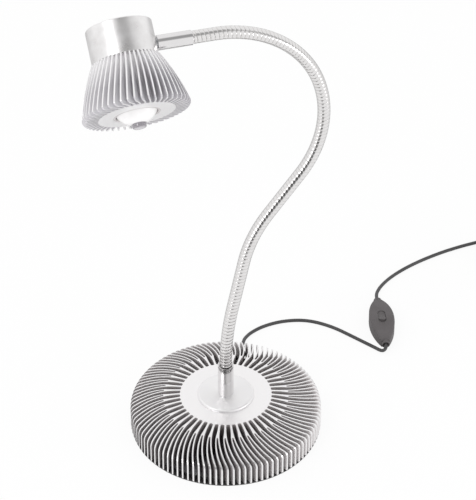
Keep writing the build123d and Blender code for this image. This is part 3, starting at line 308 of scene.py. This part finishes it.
def head_axes(tree, place):
    """Height along the head's axis and distance from it, in metres."""
    axis = tuple(HEAD_UP)
    arm = add(tree, "VectorMath", {0: place, 1: tuple(HEAD_AT * MM)}, operation="SUBTRACT").outputs[0]
    height = add(tree, "VectorMath", {0: arm, 1: axis}, operation="DOT_PRODUCT").outputs["Value"]
    along = add(tree, "VectorMath", {0: axis, "Scale": height}, operation="SCALE").outputs[0]
    across = add(tree, "VectorMath", {0: arm, 1: along}, operation="SUBTRACT").outputs[0]
    return height, add(tree, "VectorMath", {0: across}, operation="LENGTH").outputs["Value"]


def head_height(tree, place):
    """Height along the head's axis."""
    return head_axes(tree, place)[0]


def bell_depth(tree, place):
    """Depth below the bell's turned side, rim and top, in metres."""
    height, radius = head_axes(tree, place)
    low = BELL_TOP - BELL_H
    below_side = below_arc(tree, radius, height, (BELL_TOP_R, BELL_TOP),
                           (BELL_MID_R, BELL_TOP - BELL_H / 2), (BELL_R, low))
    above_rim = add(tree, "Math", {0: height, 1: low * MM}, operation="SUBTRACT").outputs[0]
    depth = rounded_depth(tree, below_side, above_rim, BELL_ROUND * MM)
    below_top = add(tree, "Math", {0: BELL_TOP * MM, 1: height}, operation="SUBTRACT").outputs[0]
    return add(tree, "Math", {0: depth, 1: below_top}, operation="MINIMUM").outputs[0]


def painted_light_near_cap(tree, place):
    """Painted light on the bell's slots: one just below the cap, where they are shallow, and nought further
    down.
    """
    height = head_height(tree, place)
    return add(tree, "MapRange", {"Value": height, "From Min": (BELL_TOP - PAINTED_LIGHT_END) * MM,
                                  "From Max": (BELL_TOP - PAINTED_LIGHT_FULL) * MM}).outputs[0]


# Finishes

def milled_aluminium(name, depth_of, edge, wall, painted_deep, edge_metal, wall_metal, painted_light_of=None):
    """Turned and slotted aluminium: turned faces stay bright, and the saw-cut slot walls are duller. Their
    colour changes with depth as painted shade in the foot and painted light in the bell, and a mask can add
    more painted light."""
    made, tree, shader = new_finish(name)
    place = add(tree, "TexCoord").outputs["Object"]
    depth = depth_of(tree, place)
    cut = add(tree, "MapRange", {"Value": depth, "From Min": EDGE_DEPTHS[0] * MM,
                                 "From Max": EDGE_DEPTHS[1] * MM}).outputs[0]
    marks = add(tree, "TexNoise", {"Vector": place, "Scale": 1 / (SAW_MARK * MM),
                                   "Detail": 3.0}).outputs["Fac"]
    # Painted shade and painted light: the walls' colour moves to the second colour with depth
    down = add(tree, "MapRange", {"Value": depth, "From Min": PAINTED_DEPTHS[0] * MM,
                                  "From Max": PAINTED_DEPTHS[1] * MM}).outputs[0]
    walls = add(tree, "Mix", {"Factor": down, 6: linear(wall), 7: linear(painted_deep)},
                data_type="RGBA").outputs[2]
    # Painted light: the walls pale towards white where the mask is one
    if painted_light_of:
        walls = add(tree, "Mix", {"Factor": painted_light_of(tree, place), 6: walls, 7: linear("FCFBFC")},
                    data_type="RGBA").outputs[2]
    worn = add(tree, "Mix", {"Factor": marks, 6: linear(edge), 7: linear("F4F3F3")},
               data_type="RGBA").outputs[2]
    colour = add(tree, "Mix", {"Factor": cut, 6: worn, 7: walls}, data_type="RGBA").outputs[2]
    tree.links.new(colour, shader.inputs["Base Color"])
    metal = add(tree, "Math", {0: cut, 1: wall_metal - edge_metal, 2: edge_metal},
                operation="MULTIPLY_ADD").outputs[0]
    tree.links.new(metal, shader.inputs["Metallic"])
    plain = add(tree, "Math", {0: cut, 1: WALL_ROUGHER, 2: TURNED_ROUGH}, operation="MULTIPLY_ADD").outputs[0]
    rough = add(tree, "Math", {0: marks, 1: SAW_ROUGHER, 2: plain}, operation="MULTIPLY_ADD").outputs[0]
    tree.links.new(rough, shader.inputs["Roughness"])
    bump = add(tree, "Bump", {"Height": marks, "Strength": 0.15, "Distance": 0.05 * MM}).outputs[0]
    tree.links.new(bump, shader.inputs["Normal"])
    return made


def turned_aluminium(name, colour, distance_of, least_rough):
    """Fine turned aluminium with a satin sheen: tool marks run round the axis and catch the light."""
    made, tree, shader = new_finish(name, metallic=1.0, anisotropic=0.4)
    place = add(tree, "TexCoord").outputs["Object"]
    distance = distance_of(tree, place)
    phase = add(tree, "Math", {0: distance, 1: 2 * math.pi / (TOOL_MARK * MM)},
                operation="MULTIPLY").outputs[0]
    lines = add(tree, "Math", {0: phase}, operation="SINE").outputs[0]
    cloud = add(tree, "TexNoise", {"Vector": place, "Scale": 1 / (SATIN_CLOUD * MM),
                                   "Detail": 4.0}).outputs["Fac"]
    tone = add(tree, "MapRange", {"Value": cloud, "From Min": SATIN_RANGE[0],
                                  "From Max": SATIN_RANGE[1]}).outputs[0]
    shade = add(tree, "Mix", {"Factor": tone, 6: linear(colour), 7: linear("F1F0F0")},
                data_type="RGBA").outputs[2]
    tree.links.new(shade, shader.inputs["Base Color"])
    rough = add(tree, "Math", {0: cloud, 1: SATIN_ROUGHER, 2: least_rough},
                operation="MULTIPLY_ADD").outputs[0]
    tree.links.new(rough, shader.inputs["Roughness"])
    bump = add(tree, "Bump", {"Height": lines, "Strength": 0.12, "Distance": 0.02 * MM}).outputs[0]
    tree.links.new(bump, shader.inputs["Normal"])
    return made


def plated_steel(name, colour, dull, rough, grain):
    """Plated steel, or bare brass: bright, with a faint cloud of a size in millimetres in the surface, and
    roughness from half to one and a half times the value given."""
    made, tree, shader = new_finish(name, metallic=1.0)
    place = add(tree, "TexCoord").outputs["Object"]
    cloud = add(tree, "TexNoise", {"Vector": place, "Scale": 1 / (grain * MM), "Detail": 3.0}).outputs["Fac"]
    shade = add(tree, "Mix", {"Factor": cloud, 6: linear(colour), 7: linear(dull)},
                data_type="RGBA").outputs[2]
    tree.links.new(shade, shader.inputs["Base Color"])
    gloss = add(tree, "Math", {0: cloud, 1: rough, 2: rough / 2}, operation="MULTIPLY_ADD").outputs[0]
    tree.links.new(gloss, shader.inputs["Roughness"])
    return made


def plated_winding(name):
    """Chrome-plated gooseneck winding: bright low ribs, and painted shade on the metal down between them."""
    made, tree, shader = new_finish(name, metallic=1.0)
    groove = add(tree, "Attribute", attribute_name="groove").outputs["Fac"]
    place = add(tree, "TexCoord").outputs["Object"]
    cloud = add(tree, "TexNoise", {"Vector": place, "Scale": 1 / (WINDING_CLOUD * MM),
                                   "Detail": 3.0}).outputs["Fac"]
    rib = add(tree, "Mix", {"Factor": cloud, 6: linear("DEDCDB"), 7: linear("E9E8E8")},
              data_type="RGBA").outputs[2]
    # Painted shade: darker metal down between the ribs
    low = add(tree, "MapRange", {"Value": groove, "From Min": GROOVE_SHADE_RANGE[0],
                                 "From Max": GROOVE_SHADE_RANGE[1]}).outputs[0]
    shade = add(tree, "Mix", {"Factor": low, 6: rib, 7: linear("C8C5C4")}, data_type="RGBA").outputs[2]
    tree.links.new(shade, shader.inputs["Base Color"])
    gloss = add(tree, "Math", {0: groove, 1: GROOVE_ROUGHER, 2: RIB_ROUGH},
                operation="MULTIPLY_ADD").outputs[0]
    tree.links.new(gloss, shader.inputs["Roughness"])
    return made


def moulded(name, colour, other, rough, grain, depth):
    """Moulded plastic, rubber or foam: a fine grain from the tool, its size and depth in millimetres, and a
    slight drift of colour."""
    made, tree, shader = new_finish(name)
    place = add(tree, "TexCoord").outputs["Object"]
    fine = add(tree, "TexNoise", {"Vector": place, "Scale": 1 / (grain * MM), "Detail": 4.0}).outputs["Fac"]
    drift = add(tree, "TexNoise", {"Vector": place, "Scale": 1 / (COLOUR_DRIFT * MM),
                                   "Detail": 2.0}).outputs["Fac"]
    mixed = add(tree, "Math", {0: fine, 1: GRAIN_SHARE, 2: drift}, operation="MULTIPLY_ADD").outputs[0]
    tone = add(tree, "MapRange", {"Value": mixed, "From Min": DRIFT_RANGE[0],
                                  "From Max": DRIFT_RANGE[1]}).outputs[0]
    shade = add(tree, "Mix", {"Factor": tone, 6: linear(colour), 7: linear(other)},
                data_type="RGBA").outputs[2]
    tree.links.new(shade, shader.inputs["Base Color"])
    gloss = add(tree, "Math", {0: fine, 1: GRAIN_ROUGHER, 2: rough}, operation="MULTIPLY_ADD").outputs[0]
    tree.links.new(gloss, shader.inputs["Roughness"])
    bump = add(tree, "Bump", {"Height": fine, "Strength": 0.35, "Distance": depth * MM}).outputs[0]
    tree.links.new(bump, shader.inputs["Normal"])
    return made


def frosted_acrylic(name):
    """Moulded acrylic lens: frosted white dome, and a polished bead on its tip, greyed with painted shade
    towards its edge.
    """
    made, tree, shader = new_finish(name, transmission_weight=0.06, ior=1.49, coat_weight=0.6,
                                    coat_roughness=0.2)
    place = add(tree, "TexCoord").outputs["Object"]
    height, radius = head_axes(tree, place)
    bead = add(tree, "MapRange", {"Value": height, "From Min": (LENS_TIP + BEAD_FROM) * MM,
                                  "From Max": (LENS_TIP + BEAD_FULL) * MM}).outputs[0]
    cloud = add(tree, "TexNoise", {"Vector": place, "Scale": 1 / (FROST_CLOUD * MM),
                                   "Detail": 3.0}).outputs["Fac"]
    frost = add(tree, "Mix", {"Factor": cloud, 6: linear("F8F7F7"), 7: linear("FEFDFD")},
                data_type="RGBA").outputs[2]
    # Painted shade: the bead greys towards its rounded edge
    edge = add(tree, "MapRange", {"Value": radius, "From Min": BEAD_CLEAR_R * MM,
                                  "From Max": BEAD_SHADED_EDGE_R * MM}).outputs[0]
    bead_with_painted_shade = add(tree, "Mix", {"Factor": edge, 6: linear("CFCCD1"), 7: linear("949096")},
                 data_type="RGBA").outputs[2]
    shade = add(tree, "Mix", {"Factor": bead, 6: frost, 7: bead_with_painted_shade}, data_type="RGBA").outputs[2]
    tree.links.new(shade, shader.inputs["Base Color"])
    gloss = add(tree, "Math", {0: bead, 1: BEAD_ROUGH - FROST_ROUGH, 2: FROST_ROUGH},
                operation="MULTIPLY_ADD").outputs[0]
    tree.links.new(gloss, shader.inputs["Roughness"])
    return made


finishes = {
    # The foot's second wall colour is painted shade down its slots; the bell's is painted light, with more
    # painted light just below the cap
    "base_heatsink": milled_aluminium("aluminium_turned_and_slotted_foot", foot_depth, edge="F1EFF0",
                                      wall="E4E0E0", painted_deep="706A6A", edge_metal=1.0, wall_metal=0.70),
    "head_heatsink": milled_aluminium("aluminium_turned_and_slotted_bell", bell_depth, edge="E8E7E9",
                                      wall="CBC9CD", painted_deep="FBFAFC", edge_metal=0.4, wall_metal=0.05,
                                      painted_light_of=painted_light_near_cap),
    "neck_flange": turned_aluminium("aluminium_satin_turned_flange", "EFEEEF", foot_radius, 0.42),
    "head_cap": turned_aluminium("aluminium_satin_turned_cap", "E0DEDE", head_height, 0.22),
    "ferrule": plated_steel("steel_chrome_plated", "DEDCDD", "E8E7E7", 0.08, 6.0),
    "zinc": plated_steel("steel_zinc_plated", "A8A9AC", "BFC0C2", 0.35, 2.5),
    "nickel": plated_steel("steel_nickel_plated_stamped", "C6C4C0", "D4D2CE", 0.22, 3.0),
    "brass": plated_steel("brass_stamped", "C8A561", "D8B870", 0.25, 2.0),
    "winding": plated_winding("steel_chrome_plated_winding"),
    "cord": moulded("vinyl_extruded_cord", "3D3C3D", "484748", 0.42, 0.8, 0.03),
    "wire": moulded("vinyl_extruded_wire", "A9A49D", "BBB6AF", 0.40, 0.6, 0.02),
    "rubber": moulded("rubber_moulded", "3B3B3C", "464647", 0.55, 0.5, 0.03),
    "foam": moulded("foam_rubber_cut", "2A2929", "383737", 0.75, 0.9, 0.10),
    "shell": moulded("abs_moulded_grained", "524E4F", "5D595A", 0.46, 0.45, 0.03),
    "key": moulded("abs_moulded_key", "514D4E", "5C5859", 0.40, 0.45, 0.02),
    "white": moulded("polycarbonate_moulded_white", "E9E7E6", "F3F2F1", 0.24, 1.2, 0.01),
    # Painted shade: the grey of the lens ring stands for the shadow line round the lens's edge
    "ring": moulded("polycarbonate_grey_with_painted_shade", "C9C5C5", "D2CECE", 0.30, 1.2, 0.01),
    "board_white": moulded("board_white_mask", "E4E3E0", "EFEEEC", 0.30, 1.0, 0.01),
    "phosphor": moulded("phosphor_under_silicone", "E8D878", "F0E59A", 0.18, 0.6, 0.01),
    "board_green": moulded("board_green_mask", "1F5A36", "2A6A42", 0.30, 1.0, 0.02),
    "black": moulded("epoxy_moulded_black", "1E1E1F", "2A2A2B", 0.45, 0.5, 0.02),
    "tongue": moulded("nylon_moulded_pale", "D2D0CB", "DEDCD8", 0.36, 0.6, 0.01),
    "lens": frosted_acrylic("acrylic_moulded_lens"),
}
worn_by = {
    "ferrule": ("base_ferrule", "head_ferrule"),
    "zinc": ("base_plate", "plate_screws", "base_washer", "base_nut", "base_stud", "head_stud", "head_nut",
             "head_washer", "board_screws", "switch_screws"),
    "nickel": ("usb_shell",),
    "brass": ("contact_bridge", "switch_terminals", "usb_contacts"),
    "wire": tuple(f"neck_wire_{i}" for i in range(2, 10)) + ("led_leads",),
    "rubber": ("cord_grommet", "coil_tie", "usb_grip"),
    "cord": ("base_lead",),
    "foam": ("foot_pad",),
    "shell": ("switch_top", "switch_bottom"),
    "key": ("switch_rocker",),
    "white": ("lens_holder",),
    "ring": ("lens_ring",),
    "board_white": ("led_board",),
    "phosphor": ("led_emitter",),
    "board_green": ("driver_board",),
    "black": ("driver_parts",),
    "tongue": ("usb_tongue",),
    "base_heatsink": ("base_heatsink",),
    "head_heatsink": ("head_heatsink",),
    "neck_flange": ("neck_flange",),
    "head_cap": ("head_cap",),
    "lens": ("lens",),
}
for key, names in worn_by.items():
    for name in names:
        for held in nodes[name].material_slots:
            held.material = finishes[key]


# Gooseneck winding

def ring_surface(name, points, finish):
    """Closed surface over a grid of points in millimetres, its rows and its columns joined all round."""
    rows, columns = points.shape[:2]
    index = np.arange(rows * columns).reshape(rows, columns)
    index = np.hstack([index, index[:, :1]])
    index = np.vstack([index, index[:1]])
    quads = np.stack([index[:-1, :-1], index[:-1, 1:], index[1:, 1:], index[1:, :-1]], axis=-1)
    mesh = bpy.data.meshes.new(name)
    mesh.from_pydata((points.reshape(-1, 3) * MM).tolist(), [], quads.reshape(-1, 4).tolist())
    mesh.polygons.foreach_set("use_smooth", np.ones(len(mesh.polygons), dtype=bool))
    mesh.materials.append(finish)
    made = bpy.data.objects.new(name, mesh)
    bpy.context.scene.collection.objects.link(made)
    return made


def winding(name, start, end):
    """Wound tube between two distances. At distance s and angle a, f = frac(s / pitch - a / 2 pi) runs
    across a rib, h = 1 - (2 f / share - 1)^flat is its height there, and r = low + (crest - low) h.
    In the head ferrule the winding is pressed to a smaller plain round. A plain bore closes the tube."""
    rows = int((end - start) / WIND_PITCH * WIND_ROWS) + 1
    s = np.linspace(start, end, rows)
    angle = np.linspace(0.0, 2 * np.pi, WIND_COLUMNS, endpoint=False)
    f = np.mod(s[:, None] / WIND_PITCH - angle[None, :] / (2 * np.pi), 1.0)
    height = np.clip(1.0 - (2.0 * f / WIND_RIB_SHARE - 1.0) ** WIND_FLAT, 0.0, 1.0)
    free = np.clip((NECK_TOP - WIND_PRESS - s) / WIND_PRESS, 0.0, 1.0)[:, None]
    low = WIND_PRESSED_R + (WIND_LOW_R - WIND_PRESSED_R) * free
    radius = low + (WIND_R - low) * height * free
    bore = np.linspace(end, start, BORE_ROWS)
    s = np.concatenate([s, bore])
    radius = np.vstack([radius, np.full((BORE_ROWS, WIND_COLUMNS), WIND_BORE_R)])
    height = np.vstack([height, np.zeros((BORE_ROWS, WIND_COLUMNS))])
    centre, way = neck_line(s)
    across = np.cross(way, BACK)
    outward = np.cos(angle)[None, :, None] * BACK + np.sin(angle)[None, :, None] * across[:, None, :]
    made = ring_surface(name, centre[:, None, :] + radius[:, :, None] * outward, finishes["winding"])
    groove = made.data.attributes.new("groove", "FLOAT", "POINT")
    groove.data.foreach_set("value", (1.0 - height).ravel().astype(np.float32))
    return made


last = len(JOINTS) - 1
for i, joint in enumerate(JOINTS):
    at = FIRST_JOINT + i * LENGTH_STEP
    start = -NECK_IN_BASE if i == 0 else at - LENGTH_STEP / 2
    end = NECK_TOP + NECK_IN_HEAD if i == last else at + LENGTH_STEP / 2
    piece = winding(f"gooseneck_winding_{i + 1}", start, end)
    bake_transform(piece)
    stands_for = [f"neck_length_{i + 1}"] + ([f"neck_length_{i + 2}"] if i == last else [])
    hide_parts(*stands_for)


# Cord

def coil_points():
    """Control points of the put-away coil. Half a step off each tangent point, on radius r / cos(half step),
    the spline touches the wound circle r = inner + step |t - turns in|. It climbs a layer where it
    reverses."""
    t = (np.arange(int(COIL_TURNS * COIL_POINTS)) + 0.5) / COIL_POINTS
    radius = (COIL_R_IN + COIL_STEP * np.abs(t - COIL_TURNS_IN)) / math.cos(math.pi / COIL_POINTS)
    climb = np.clip((t - COIL_TURNS_IN) / COIL_CLIMB + 0.5, 0.0, 1.0)
    angle = math.pi / 2 - 2 * math.pi * t
    rise = COIL_LAYER * climb * climb * (3 - 2 * climb)
    return COIL_AT + np.stack([radius * np.cos(angle), radius * np.sin(angle), rise], axis=1)


def cord(name, route):
    """Round cord on a smooth line, the route's points as its control points."""
    curve = bpy.data.curves.new(name, "CURVE")
    curve.dimensions = "3D"
    line = curve.splines.new("NURBS")
    line.points.add(len(route) - 1)
    line.points.foreach_set("co", np.hstack([route * MM, np.ones((len(route), 1))]).ravel())
    line.order_u = 3
    line.use_endpoint_u = True
    line.resolution_u = CORD_STEPS
    curve.resolution_u = CORD_STEPS
    curve.bevel_depth = CORD_R * MM
    curve.bevel_resolution = CORD_SIDES
    curve.use_fill_caps = True
    curve.materials.append(finishes["cord"])
    made = bpy.data.objects.new(name, curve)
    bpy.context.scene.collection.objects.link(made)
    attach(made, "base")
    return made


near_in = SWITCH_AT - SWITCH_WAY * SWITCH_IN
near_out = SWITCH_AT - SWITCH_WAY * SWITCH_OUT
far_in = SWITCH_AT + SWITCH_WAY * SWITCH_IN
far_out = SWITCH_AT + SWITCH_WAY * SWITCH_OUT
boot_end = BOOT_TIP + EXIT_WAY * BOOT_RUN
lead = cord("cord_to_switch", np.array([BOOT_TIP, boot_end, *LEAD_ROUTE, near_out, near_in]))
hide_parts("cord_lead")
tail = cord("cord_to_plug", np.array([far_in, far_out, *TAIL_ROUTE, *coil_points(), *PLUG_ROUTE]))
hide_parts("cord_tail", "cord_coil", "cord_end")


# Floor, world, lights and camera

def bearing_of(tree, place):
    """Bearing of a place from the camera's side of the lamp, rising to the right, in radians."""
    parts = add(tree, "SeparateXYZ", {0: place}).outputs
    ahead = add(tree, "Math", {0: parts["Y"], 1: -1.0}, operation="MULTIPLY").outputs[0]
    return add(tree, "Math", {0: parts["X"], 1: ahead}, operation="ARCTAN2").outputs[0]


def within(tree, value, middle, full, none):
    """One within a distance of a middle value, falling to nought at a larger distance."""
    far = add(tree, "Math", {0: value, 1: middle}, operation="SUBTRACT").outputs[0]
    far = add(tree, "Math", {0: far}, operation="ABSOLUTE").outputs[0]
    return add(tree, "MapRange", {"Value": far, "From Min": none, "From Max": full}).outputs[0]


def dimmed(tree, light, mask, loss):
    """Light that loses a share of itself where a mask is one."""
    kept = add(tree, "Math", {0: mask, 1: -loss, 2: 1.0}, operation="MULTIPLY_ADD").outputs[0]
    return add(tree, "Math", {0: light, 1: kept}, operation="MULTIPLY").outputs[0]


floor_mesh = bpy.data.meshes.new("studio_floor")
corners = [(x * FLOOR_HALF * MM, y * FLOOR_HALF * MM, 0) for x, y in ((-1, -1), (1, -1), (1, 1), (-1, 1))]
floor_mesh.from_pydata(corners, [], [(0, 1, 2, 3)])
floor = bpy.data.objects.new("studio_floor", floor_mesh)
bpy.context.scene.collection.objects.link(floor)
sweep, tree, shader = new_finish("studio_paper", roughness=0.8)
shader.inputs["Base Color"].default_value = linear("F4F4F4")
rays = add(tree, "LightPath").outputs
mirrored = rays["Is Glossy Ray"]
seen = add(tree, "Math", {0: rays["Is Camera Ray"], 1: mirrored}, operation="MAXIMUM").outputs[0]
seen = add(tree, "Math", {0: seen, 1: rays["Is Transmission Ray"]}, operation="MAXIMUM").outputs[0]
share = add(tree, "Math", {0: seen, 1: PAPER_SHARE}, operation="MULTIPLY").outputs[0]
# Upright metal shows a dark stretch of desk towards the camera, and a dim one behind the lamp
place = add(tree, "TexCoord").outputs["Object"]
bearing = bearing_of(tree, place)
reach = add(tree, "VectorMath", {0: place}, operation="LENGTH").outputs["Value"]
far = add(tree, "MapRange", {"Value": reach, "From Min": DESK_REACH[0] * MM,
                             "From Max": DESK_REACH[1] * MM}).outputs[0]
ahead = add(tree, "Math", {0: within(tree, bearing, *DESK_BAND), 1: far}, operation="MULTIPLY").outputs[0]
dim = dimmed(tree, 1.0, ahead, DESK_LOSS)
behind = add(tree, "Math", {0: bearing}, operation="ABSOLUTE").outputs[0]
dim = dimmed(tree, dim, within(tree, behind, *BEHIND_BAND), BEHIND_LOSS)
tint = add(tree, "Mix", {"Factor": mirrored, 2: 1.0, 3: dim}, data_type="FLOAT").outputs[0]
white = add(tree, "Emission", {"Color": (1, 1, 1, 1), "Strength": tint})
paper = add(tree, "MixShader", {0: share, 1: shader.outputs[0], 2: white.outputs[0]})
tree.links.new(paper.outputs[0], tree.nodes["Material Output"].inputs["Surface"])
floor_mesh.materials.append(sweep)

world = bpy.data.worlds.new("studio")
bpy.context.scene.world = world
world.use_nodes = True
tree = world.node_tree
sky = tree.nodes["Background"]
rays = add(tree, "LightPath").outputs
direction = add(tree, "TexCoord").outputs["Generated"]
# Metal shows a dark gap left of the camera, a dim wall to the right and a grey screen high on the right
bearing = bearing_of(tree, direction)
rise = add(tree, "SeparateXYZ", {0: direction}).outputs["Z"]
low = add(tree, "MapRange", {"Value": rise, "From Min": WALL_RISE[0], "From Max": WALL_RISE[1]}).outputs[0]
gap = add(tree, "Math", {0: within(tree, bearing, *GAP_BAND), 1: low}, operation="MULTIPLY").outputs[0]
wall = add(tree, "Math", {0: within(tree, bearing, *WALL_BAND), 1: low}, operation="MULTIPLY").outputs[0]
high = add(tree, "VectorMath", {0: direction, 1: SCREEN_WAY}, operation="DOT_PRODUCT").outputs["Value"]
screen = add(tree, "MapRange", {"Value": high, "From Min": SCREEN_EDGE[0],
                                "From Max": SCREEN_EDGE[1]}).outputs[0]
dome = dimmed(tree, dimmed(tree, dimmed(tree, 1.0, gap, GAP_LOSS), wall, WALL_LOSS), screen, SCREEN_LOSS)
ambient = add(tree, "Mix", {"Factor": rays["Is Glossy Ray"], 2: AMBIENT, 3: dome},
              data_type="FLOAT").outputs[0]
plain = add(tree, "Math", {0: rays["Is Camera Ray"], 1: rays["Is Transmission Ray"]},
            operation="MAXIMUM").outputs[0]
strength = add(tree, "Mix", {"Factor": plain, 2: ambient, 3: 1.0}, data_type="FLOAT").outputs[0]
tree.links.new(strength, sky.inputs["Strength"])
sky.inputs["Color"].default_value = (1, 1, 1, 1)


def softbox(name, at, aim, size, power):
    """Square area lamp at a place, facing another."""
    lamp = bpy.data.lights.new(name, "AREA")
    lamp.shape = "SQUARE"
    lamp.size = size * MM
    lamp.energy = power
    made = bpy.data.objects.new(name, lamp)
    made.location = tuple(np.array(at) * MM)
    way = np.array(aim) - np.array(at)
    level = math.hypot(way[0], way[1])
    made.rotation_euler = (math.atan2(level, -way[2]), 0.0, math.atan2(way[1], way[0]) - math.pi / 2)
    bpy.context.scene.collection.objects.link(made)


for name, settings in LAMPS.items():
    softbox(name, *settings)

camera = bpy.data.cameras.new("camera")
camera.lens = CAMERA_LENS
camera.sensor_width = CAMERA_SENSOR
camera.clip_end = CAMERA_SIGHT * MM
viewer = bpy.data.objects.new("camera", camera)
viewer.location = tuple(np.array(CAMERA_AT) * MM)
viewer.rotation_euler = (math.pi / 2 - CAMERA_DIP, 0.0, 0.0)
bpy.context.scene.collection.objects.link(viewer)
bpy.context.scene.camera = viewer
bpy.context.scene.view_settings.view_transform = "Standard"
